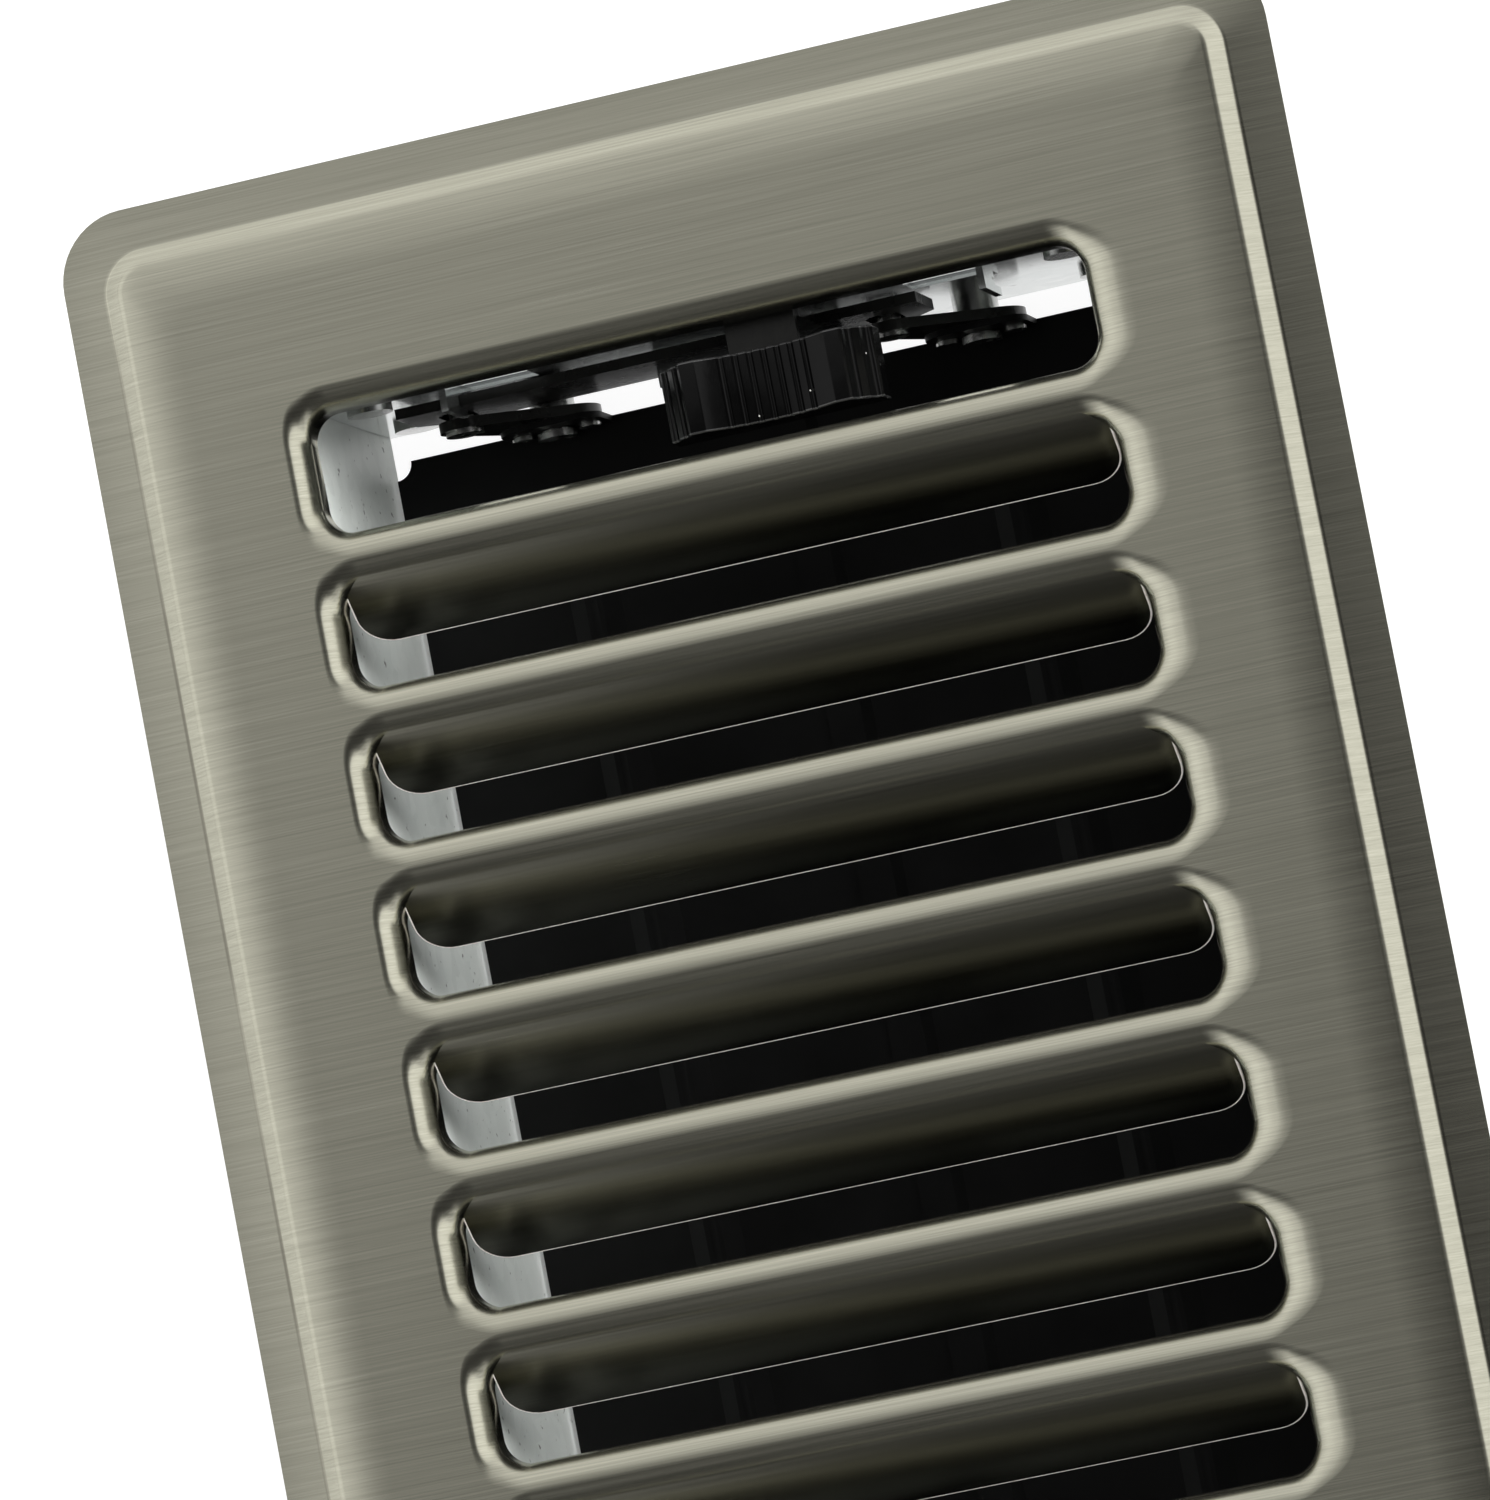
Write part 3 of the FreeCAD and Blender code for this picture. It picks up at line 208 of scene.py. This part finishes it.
# Faceplate. One stamped sheet of steel, brushed along its short side and nickel plated: a sloping
# border, a short steep step, a flat panel, and slots whose edges are rolled down into collars.
face_half = (69.85, 148.25)
panel_top = 41.85
sheet = 0.9
roll = 2.8
collar = 5.0
half_slot = 44.8
slot_corner = 3.3
slot_lap = 0.05
slot_pitch = 17.5
lever_slot = (106.85, 120.65)
first_louvre = (89.35, 101.05)
louvre_total = 13
louvre_length = 10.2
louvre_tilt = math.radians(45)
blade_gap = 0.5
blade_corner = 4.0
end_draw = (0.9, 1.75)          # how far the left and the right end of a slot's roll is drawn out
end_bow = (0.6, 1.0)            # and how early it turns down
crease_inset = 4.9
crease_corner = 5.0
crease_round = 0.3
shoulder_round = 0.42
cut_round = 0.24
border_outlines = (             # inset, height and corner, from the rim up to the flat panel
    (0, 39.2, 8), (crease_inset, 39.77, crease_corner), (6.9, 41.27, 3.2), (8.1, 41.48, 3),
    (9.3, 41.643, 3), (10.5, 41.76, 3), (11.7, 41.83, 3), (12.9, panel_top, 3))


def draw_ring(form, half_x, low_y, high_y, height, corner, segments):
    """The outline of a rectangle with rounded corners, as a loop of edges."""
    before = set(form.edges)
    corners = bmesh.ops.create_grid(form, x_segments=1, y_segments=1, size=1)["verts"]
    bmesh.ops.scale(form, vec=(half_x, (high_y - low_y) / 2, 1), verts=corners)
    bmesh.ops.translate(form, vec=(0, (low_y + high_y) / 2, height), verts=corners)
    bmesh.ops.bevel(form, geom=corners, offset=corner, offset_type="OFFSET", segments=segments,
                    profile=0.5, affect="VERTICES", material=-1)
    ring = [edge for edge in form.edges if edge not in before]
    inside = {face for edge in ring for face in edge.link_faces}
    bmesh.ops.delete(form, geom=list(inside), context="FACES_ONLY")
    return ring


def draw_border(form):
    """The plate's sloping border and its step, with the crease and the shoulder rounded."""
    rings = [draw_ring(form, face_half[0] - inset, inset - face_half[1], face_half[1] - inset,
                       height, corner, 12)
             for inset, height, corner in border_outlines]
    for outer, inner in zip(rings, rings[1:]):
        bmesh.ops.bridge_loops(form, edges=outer + inner)
    for ring, run, segments in ((rings[1], crease_round, 4), (rings[2], shoulder_round, 6)):
        bmesh.ops.bevel(form, geom=ring, offset=run, offset_type="OFFSET", segments=segments,
                        profile=0.5, affect="EDGES", material=-1)


def draw_slot(form, low_y, high_y):
    """A slot with its edge rolled down into a collar."""
    outlines = ((roll + slot_lap, panel_top), (0, panel_top), (0, panel_top - collar))
    rings = [draw_ring(form, half_slot + outset, low_y - outset, high_y + outset, height,
                       slot_corner + outset, 12)
             for outset, height in outlines]
    bmesh.ops.bridge_loops(form, edges=rings[0] + rings[1])
    bmesh.ops.bridge_loops(form, edges=rings[1] + rings[2])
    bmesh.ops.bevel(form, geom=rings[1], offset=roll, offset_type="OFFSET", segments=12,
                    profile=0.5, affect="EDGES", material=-1)
    for vert in form.verts:
        spare = abs(vert.co.x) - half_slot
        if 0 < spare < roll + 2 * slot_lap and abs(vert.co.y - (low_y + high_y) / 2) < slot_pitch:
            end = 1 if vert.co.x > 0 else 0
            spread = end_draw[end] * roll * (spare / roll) ** end_bow[end]
            vert.co.x = math.copysign(half_slot + spread, vert.co.x)


def draw_louvre(form, low_y, high_y):
    """A louvre slot: the far roll stops halfway and runs straight on down as a blade."""
    draw_slot(form, low_y, high_y)
    root_y = high_y + roll * (1 - math.sin(louvre_tilt))
    root_z = panel_top - roll * (1 - math.cos(louvre_tilt))
    middle = (low_y + high_y) / 2
    spare = [face for face in form.faces
             if abs(face.calc_center_median().x) < 1 and face.calc_center_median().y > middle
             and face.calc_center_median().z < root_z]
    bmesh.ops.delete(form, geom=spare, context="FACES")
    half_blade = half_slot - blade_gap
    corners = bmesh.ops.create_grid(form, x_segments=1, y_segments=1, size=1)["verts"]
    bmesh.ops.scale(form, vec=(half_blade, louvre_length / 2, 1), verts=corners)
    bmesh.ops.translate(form, vec=(0, -louvre_length / 2, 0), verts=corners)
    before = set(form.verts) - set(corners)
    for picked, radius in (([v for v in corners if v.co.y > -1], half_blade - half_slot + slot_corner),
                           ([v for v in corners if v.co.y < -1], blade_corner)):
        bmesh.ops.bevel(form, geom=picked, offset=radius, offset_type="OFFSET", segments=8,
                        profile=0.5, affect="VERTICES", material=-1)
    blade = [vert for vert in form.verts if vert not in before]
    bmesh.ops.rotate(form, cent=(0, 0, 0), matrix=Matrix.Rotation(louvre_tilt, 3, "X"), verts=blade)
    bmesh.ops.translate(form, vec=(0, root_y, root_z), verts=blade)
    bmesh.ops.remove_doubles(form, verts=form.verts, dist=0.02)


nickel_tones = ((0.52, 0.51, 0.41), (0.7, 0.685, 0.56))
border_dull = (0.76, 0.76, 0.76, 1)
# The colour of the painted shade along the crease.
crease_shade_tone = (0.16, 0.15, 0.12, 1)
# Height below which the painted shade inside the slots is darkest.
darkest_shade_height = 33.8


def make_nickel(name, inside):
    """Nickel plate over a brushed sheet: fine streaks along X, a duller border and painted shade along
    the crease on each long side. Inside the slots, painted shade darkens the colour with depth."""
    material, tree, shader, place = make_material(name)
    stretch = place_node(tree, "ShaderNodeMapping", {"Vector": place, "Scale": (40, 5200, 400)})
    streak = place_node(tree, "ShaderNodeTexNoise", {"Vector": stretch.outputs[0], "Scale": 1.0,
                                                     "Detail": 3.0, "Roughness": 0.6})
    broad = place_node(tree, "ShaderNodeMapping", {"Vector": place, "Scale": (10, 1500, 120)})
    band = place_node(tree, "ShaderNodeTexNoise", {"Vector": broad.outputs[0], "Scale": 1.0,
                                                   "Detail": 2.0})
    cloud = place_node(tree, "ShaderNodeTexNoise", {"Vector": place, "Scale": 28.0, "Detail": 4.0})
    grain = place_math(tree, "ADD", place_math(tree, "MULTIPLY", streak.outputs["Fac"], 0.82),
                       place_math(tree, "MULTIPLY", band.outputs["Fac"], 0.18))
    colour = place_ramp(tree, grain, [(0.3, nickel_tones[0]), (0.7, nickel_tones[1])])
    side, length, height = place_node(tree, "ShaderNodeSeparateXYZ", {0: place}).outputs
    reach = []
    for run, half in ((side, face_half[0]), (length, face_half[1])):
        corner = (half - crease_inset - crease_corner) * MM
        past = place_math(tree, "SUBTRACT", place_math(tree, "ABSOLUTE", run), corner)
        past = place_math(tree, "MAXIMUM", past, 0.0)
        reach.append(place_math(tree, "MULTIPLY", past, past))
    reach = place_math(tree, "SQRT", place_math(tree, "ADD", *reach))
    border = place_math(tree, "GREATER_THAN", reach, crease_corner * MM)
    colour = place_mix(tree, border, colour, border_dull, "MULTIPLY")
    crease = (face_half[0] - crease_inset) * MM
    off_crease = place_math(tree, "ABSOLUTE", place_math(
        tree, "SUBTRACT", place_math(tree, "ABSOLUTE", side), crease))
    # Painted shade: a dark, broken line along the crease on each long side.
    crease_shade = place_ramp(tree, place_math(tree, "MULTIPLY", off_crease, 1000.0),
                       [(0.0, 1.0), (0.12, 0.9), (0.3, 0.0)])
    crease_shade = place_math(tree, "MULTIPLY", crease_shade, place_ramp(tree, cloud.outputs["Fac"],
                                                           [(0.35, 0.35), (0.6, 0.8)]))
    short = place_ramp(tree, place_math(tree, "ABSOLUTE", length), [(0.126, 1.0), (0.137, 0.0)])
    crease_shade = place_math(tree, "MULTIPLY", crease_shade, short)
    colour = place_mix(tree, crease_shade, colour, crease_shade_tone)
    # Painted shade: below the panel the colour darkens with depth, almost to black.
    if inside:
        depth = place_math(tree, "MULTIPLY", place_math(tree, "SUBTRACT", height, darkest_shade_height * MM), 125.0)
        depth_shade = place_ramp(tree, depth, [(0.0, 0.03), (0.3, 0.09), (0.6, 0.23), (0.8, 0.5), (0.9, 0.95)])
        colour = place_mix(tree, 1.0, colour, depth_shade, "MULTIPLY")
    tree.links.new(colour, shader.inputs["Base Color"])
    rough = place_math(tree, "ADD", place_math(tree, "MULTIPLY", grain, 0.12),
                       place_math(tree, "MULTIPLY", cloud.outputs["Fac"], 0.08))
    rough = place_math(tree, "ADD", rough, 0.14)
    tree.links.new(rough, shader.inputs["Roughness"])
    bump = place_node(tree, "ShaderNodeBump", {"Height": grain, "Strength": 0.12, "Distance": 0.00004})
    tree.links.new(bump.outputs[0], shader.inputs["Normal"])
    shader.inputs["Metallic"].default_value = 1.0
    shader.inputs["Anisotropic"].default_value = 0.6
    shader.inputs["Anisotropic Rotation"].default_value = 0.25
    brushing = place_node(tree, "ShaderNodeCombineXYZ", {"X": 1.0})
    tree.links.new(brushing.outputs[0], shader.inputs["Tangent"])
    return material


def make_cut_edge_highlight():
    """Bare sheared steel at the louvres' free edges, a little rough; its pale colour is a painted
    highlight.
    """
    material, tree, shader, place = make_material("cut_edge_highlight")
    tear = place_node(tree, "ShaderNodeTexNoise", {"Vector": place, "Scale": 1500.0, "Detail": 3.0})
    colour = place_ramp(tree, tear.outputs["Fac"], [(0.3, (0.75, 0.68, 0.64)), (0.6, (0.95, 0.9, 0.87))])
    tree.links.new(colour, shader.inputs["Base Color"])
    shader.inputs["Metallic"].default_value = 0.2
    shader.inputs["Roughness"].default_value = 0.5
    return material


nickel = make_nickel("brushed_nickel", False)
face_form = bmesh.new()
draw_border(face_form)
draw_slot(face_form, *lever_slot)
louvre_form = bmesh.new()
draw_louvre(louvre_form, *first_louvre)
louvre_mesh = bpy.data.meshes.new("louvre")
louvre_form.to_mesh(louvre_mesh)
louvre_form.free()
for index in range(louvre_total):
    before = set(face_form.verts)
    face_form.from_mesh(louvre_mesh)
    added = [vert for vert in face_form.verts if vert not in before]
    bmesh.ops.translate(face_form, vec=(0, -slot_pitch * index, 0), verts=added)
bpy.data.meshes.remove(louvre_mesh)
rims = [edge for edge in face_form.edges
        if edge.is_boundary and min(vert.co.z for vert in edge.verts) > panel_top - 0.001]
bmesh.ops.triangle_fill(face_form, use_beauty=True, use_dissolve=False, edges=rims, normal=(0, 0, 1))
bmesh.ops.remove_doubles(face_form, verts=face_form.verts, dist=0.001)
bmesh.ops.recalc_face_normals(face_form, faces=face_form.faces)
flat_face = max(face_form.faces, key=lambda face: abs(face.normal.z) * face.calc_area())
if flat_face.normal.z < 0:
    bmesh.ops.reverse_faces(face_form, faces=face_form.faces)
blade_normal = Vector((0, -1, 1)).normalized()
blade_facing = 0.999
blade_area = 400
cut_angle = 1.2
# The far rolls and the louvre blades take the inside material with its painted shade.
for face in face_form.faces:
    middle = face.calc_center_median()
    far_roll = face.normal.y < -0.6 and middle.z < panel_top - 0.6 and middle.y > 20 - face_half[1]
    blade_side = face.normal.dot(blade_normal) > blade_facing and face.calc_area() > blade_area
    if far_roll or blade_side:
        face.material_index = 1
bmesh.ops.solidify(face_form, geom=face_form.faces[:], thickness=sheet)
face_form.normal_update()
# The louvres' free edges are rounded and take the cut edge's pale colour, a painted highlight.
free_edges = [edge for edge in face_form.edges
              if edge.calc_face_angle(0) > cut_angle and max(vert.co.z for vert in edge.verts) < 41
              and any(face.normal.dot(blade_normal) > blade_facing for face in edge.link_faces)]
bmesh.ops.bevel(face_form, geom=free_edges, offset=cut_round, offset_type="OFFSET", segments=2,
                profile=0.5, affect="EDGES", material=2)
faceplate = finish_object(face_form, "stamped_face", nickel)
faceplate.data.materials.append(make_nickel("brushed_nickel_inside_shaded", True))
faceplate.data.materials.append(make_cut_edge_highlight())
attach(faceplate, "frame")
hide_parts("faceplate")


# Damper box. Two folded channels and two end plates of galvanised steel, riveted at the corners.
# The lever end's plate is bright, and its guides and ledges are cut and bent out of it for the slide.
box_middle = (46.7, 122.55)     # halfway through the thickness of the side and end walls
# Painted shade: the zinc coat's colour is halved outside the box.
outside_painted_shade = (0.5, 0.5, 0.51, 1)


def dress(names, material):
    """Gives a finish to CAD nodes."""
    for name in names:
        for slot in nodes[name].material_slots:
            slot.material = material


def make_galvanised(name, colours, roughness, metal):
    """Zinc coat: faint spangles, cloudy grey, scuffs from the press, and painted shade outside the box.
    """
    material, tree, shader, place = make_material(name)
    spangle = place_node(tree, "ShaderNodeTexVoronoi", {"Vector": place, "Scale": 420.0})
    cloud = place_node(tree, "ShaderNodeTexNoise", {"Vector": place, "Scale": 70.0, "Detail": 6.0,
                                                    "Roughness": 0.65})
    scuff = place_node(tree, "ShaderNodeTexNoise", {"Vector": place, "Scale": 900.0, "Detail": 3.0})
    mix = place_math(tree, "ADD", place_math(tree, "MULTIPLY", spangle.outputs["Color"], 0.25),
                     place_math(tree, "MULTIPLY", cloud.outputs["Fac"], 0.75))
    base = place_ramp(tree, mix, [(0.3, colours[0]), (0.65, colours[1])])
    side, length, _ = place_node(tree, "ShaderNodeSeparateXYZ", {0: place}).outputs
    # Painted shade: the colour is darkened outside the middle of the box's walls.
    outer = place_math(tree, "MAXIMUM", *(
        place_math(tree, "GREATER_THAN", place_math(tree, "ABSOLUTE", run), middle * MM)
        for run, middle in zip((side, length), box_middle)))
    base = place_mix(tree, outer, base, outside_painted_shade, "MULTIPLY")
    mark = place_ramp(tree, scuff.outputs["Fac"], [(0.27, 1.0), (0.33, 0.0)])
    colour = place_mix(tree, mark, base, (0.2, 0.2, 0.18, 1))
    tree.links.new(colour, shader.inputs["Base Color"])
    rough = place_math(tree, "ADD", place_math(tree, "MULTIPLY", cloud.outputs["Fac"], 0.2), roughness)
    tree.links.new(rough, shader.inputs["Roughness"])
    bump = place_node(tree, "ShaderNodeBump", {"Height": mix, "Strength": 0.15, "Distance": 0.00005})
    tree.links.new(bump.outputs[0], shader.inputs["Normal"])
    shader.inputs["Metallic"].default_value = metal
    return material


zinc_tones = ((0.74, 0.78, 0.74), (0.86, 0.9, 0.86))
bright_tones = ((0.55, 0.58, 0.57), (0.68, 0.7, 0.69))
zinc_coat = make_galvanised("zinc_coat", zinc_tones, 0.35, 0.1)
bright_coat = make_galvanised("bright_zinc_coat", bright_tones, 0.06, 0.95)
dress(("side_panel_left", "side_panel_right", "far_end_plate"), zinc_coat)
dress(("lever_end_plate",), bright_coat)


# Rivets and pins. Eight headed rivets close the box's corners, two small ones hold each crank to its
# blade, and turned pins carry the blades and run in the slide bar. All are steel with a bright zinc
# finish.
def make_bright_zinc():
    """Bright plated steel with turning marks and a few dull spots."""
    material, tree, shader, place = make_material("bright_zinc")
    mark = place_node(tree, "ShaderNodeTexNoise", {"Vector": place, "Scale": 1800.0, "Detail": 3.0})
    dull = place_node(tree, "ShaderNodeTexNoise", {"Vector": place, "Scale": 260.0, "Detail": 2.0})
    colour = place_ramp(tree, dull.outputs["Fac"],
                        [(0.35, (0.5, 0.5, 0.49)), (0.65, (0.72, 0.72, 0.71))])
    tree.links.new(colour, shader.inputs["Base Color"])
    rough = place_math(tree, "ADD", place_math(tree, "MULTIPLY", dull.outputs["Fac"], 0.2), 0.16)
    tree.links.new(rough, shader.inputs["Roughness"])
    bump = place_node(tree, "ShaderNodeBump", {"Height": mark.outputs["Fac"], "Strength": 0.2,
                                               "Distance": 0.00003})
    tree.links.new(bump.outputs[0], shader.inputs["Normal"])
    shader.inputs["Metallic"].default_value = 1.0
    return material


zinc = make_bright_zinc()
dress([name for name in nodes if "rivets" in name or "pin" in name], zinc)


# Damper. Two long blades of thin steel with a stamped bead, painted black, with a flat crank riveted
# to each lever end, and the slide bar that works both cranks.
rub_gain = 2.4
crumb_tone = (0.3, 0.3, 0.28, 1)


def make_black(name, grey, roughness, texture, shine, metal=0.0, crumbs=False):
    """A black coat with a fine orange peel, rubbed lighter and rougher in places, and where it is
    handled with a few light crumbs caught on it."""
    material, tree, shader, place = make_material(name)
    peel = place_node(tree, "ShaderNodeTexNoise", {"Vector": place, "Scale": texture, "Detail": 3.0})
    rub = place_node(tree, "ShaderNodeTexNoise", {"Vector": place, "Scale": 60.0, "Detail": 5.0,
                                                  "Roughness": 0.7})
    colour = place_ramp(tree, rub.outputs["Fac"],
                        [(0.35, grey), (0.75, tuple(rub_gain * part for part in grey))])
    if crumbs:
        speck = place_node(tree, "ShaderNodeTexVoronoi", {"Vector": place, "Scale": 700.0})
        few = place_math(tree, "GREATER_THAN", speck.outputs["Color"], 0.7)
        small = place_math(tree, "LESS_THAN", speck.outputs["Distance"], 0.07)
        colour = place_mix(tree, place_math(tree, "MULTIPLY", few, small), colour, crumb_tone)
    tree.links.new(colour, shader.inputs["Base Color"])
    rough = place_math(tree, "ADD", place_math(tree, "MULTIPLY", rub.outputs["Fac"], 0.25), roughness)
    tree.links.new(rough, shader.inputs["Roughness"])
    bump = place_node(tree, "ShaderNodeBump", {"Height": peel.outputs["Fac"], "Strength": 0.25,
                                               "Distance": 0.00008})
    tree.links.new(bump.outputs[0], shader.inputs["Normal"])
    shader.inputs["Specular IOR Level"].default_value = shine
    shader.inputs["Metallic"].default_value = metal
    return material


blade_paint = make_black("black_paint", (0.0015, 0.0015, 0.0015), 0.35, 900.0, shine=0.2)
slide_coat = make_black("black_zinc", (0.004, 0.004, 0.0036), 0.15, 1600.0, shine=0.5, metal=0.3)
dress(("damper_blade_left", "damper_blade_right"), blade_paint)
dress(("crank_left", "crank_right", "slide_bar"), slide_coat)

# Thumb knob. Moulded black plastic pushed on the slide bar's tongue: two horns with a ribbed hollow
# for the thumb between them, and ribbed flanks. Its rims are rubbed shiny by wear, and their lighter
# colour is a painted highlight.
knob_middle = 7.1
knob_low = 32.1
knob_front = 109.15
knob_depth = 8.2
knob_half = 12.3
knob_base = 35.3
knob_shoulder = 9.2
knob_top = 38.9
valley_half = 7.5
valley_depth = 2.3
valley_radius = 13.38
valley_centre = knob_top - valley_depth + valley_radius
rib_pitch = 1.6
rib_depth = 0.35
ribbed_half = 3.5 * rib_pitch
rim_round = 0.25
rim_angle = 1.2


def knob_height(run):
    """Height of the knob's top at a distance from its middle."""
    side = abs(run)
    if side > knob_shoulder:
        share = (knob_half - side) / (knob_half - knob_shoulder)
        height = knob_base + share * (knob_top - knob_base)
        return height - rib_depth * max(0.0, math.sin(4 * math.pi * share - math.pi / 2)) ** 0.5
    if side > valley_half:
        return knob_top
    height = valley_centre - math.sqrt(valley_radius ** 2 - run ** 2)
    groove = (run / rib_pitch) % 1.0
    groove = min(groove, 1 - groove) * rib_pitch
    if side > ribbed_half:
        return height
    return height - math.sqrt(max(rib_depth ** 2 - groove ** 2, 0.0))


def draw_knob(form):
    """The knob's outline, set to its height column by column, then drawn out, with its rims rounded."""
    columns = 246
    grid = bmesh.ops.create_grid(form, x_segments=columns, y_segments=1, size=1)["verts"]
    for vert in grid:
        run = vert.co.x * knob_half
        vert.co = (run, 0, knob_height(run) if vert.co.y > 0 else knob_low)
    drawn = bmesh.ops.extrude_face_region(form, geom=form.faces[:])
    fresh = [item for item in drawn["geom"] if isinstance(item, bmesh.types.BMVert)]
    bmesh.ops.translate(form, vec=(0, knob_depth, 0), verts=fresh)
    bmesh.ops.recalc_face_normals(form, faces=form.faces)
    rims = [edge for edge in form.edges if edge.calc_face_angle(0) > rim_angle
            and abs(edge.verts[0].co.y - edge.verts[1].co.y) < 0.01]
    # The rounded rims take the rubbed material, whose lighter colour is a painted highlight.
    bmesh.ops.bevel(form, geom=rims, offset=rim_round, offset_type="OFFSET", segments=3, profile=0.5,
                    affect="EDGES", material=1)
    bmesh.ops.translate(form, vec=(knob_middle, knob_front, 0), verts=form.verts)


plastic = make_black("black_plastic", (0.001, 0.001, 0.001), 0.04, 700.0, shine=0.15, crumbs=True)
rim_wear_and_highlight = make_black("rubbed_plastic_highlight", (0.012, 0.012, 0.012), 0.12, 700.0, shine=1.0)
knob_form = bmesh.new()
draw_knob(knob_form)
knob = finish_object(knob_form, "ribbed_knob", plastic)
knob.data.materials.append(rim_wear_and_highlight)
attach(knob, "slide")
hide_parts("thumb_knob")
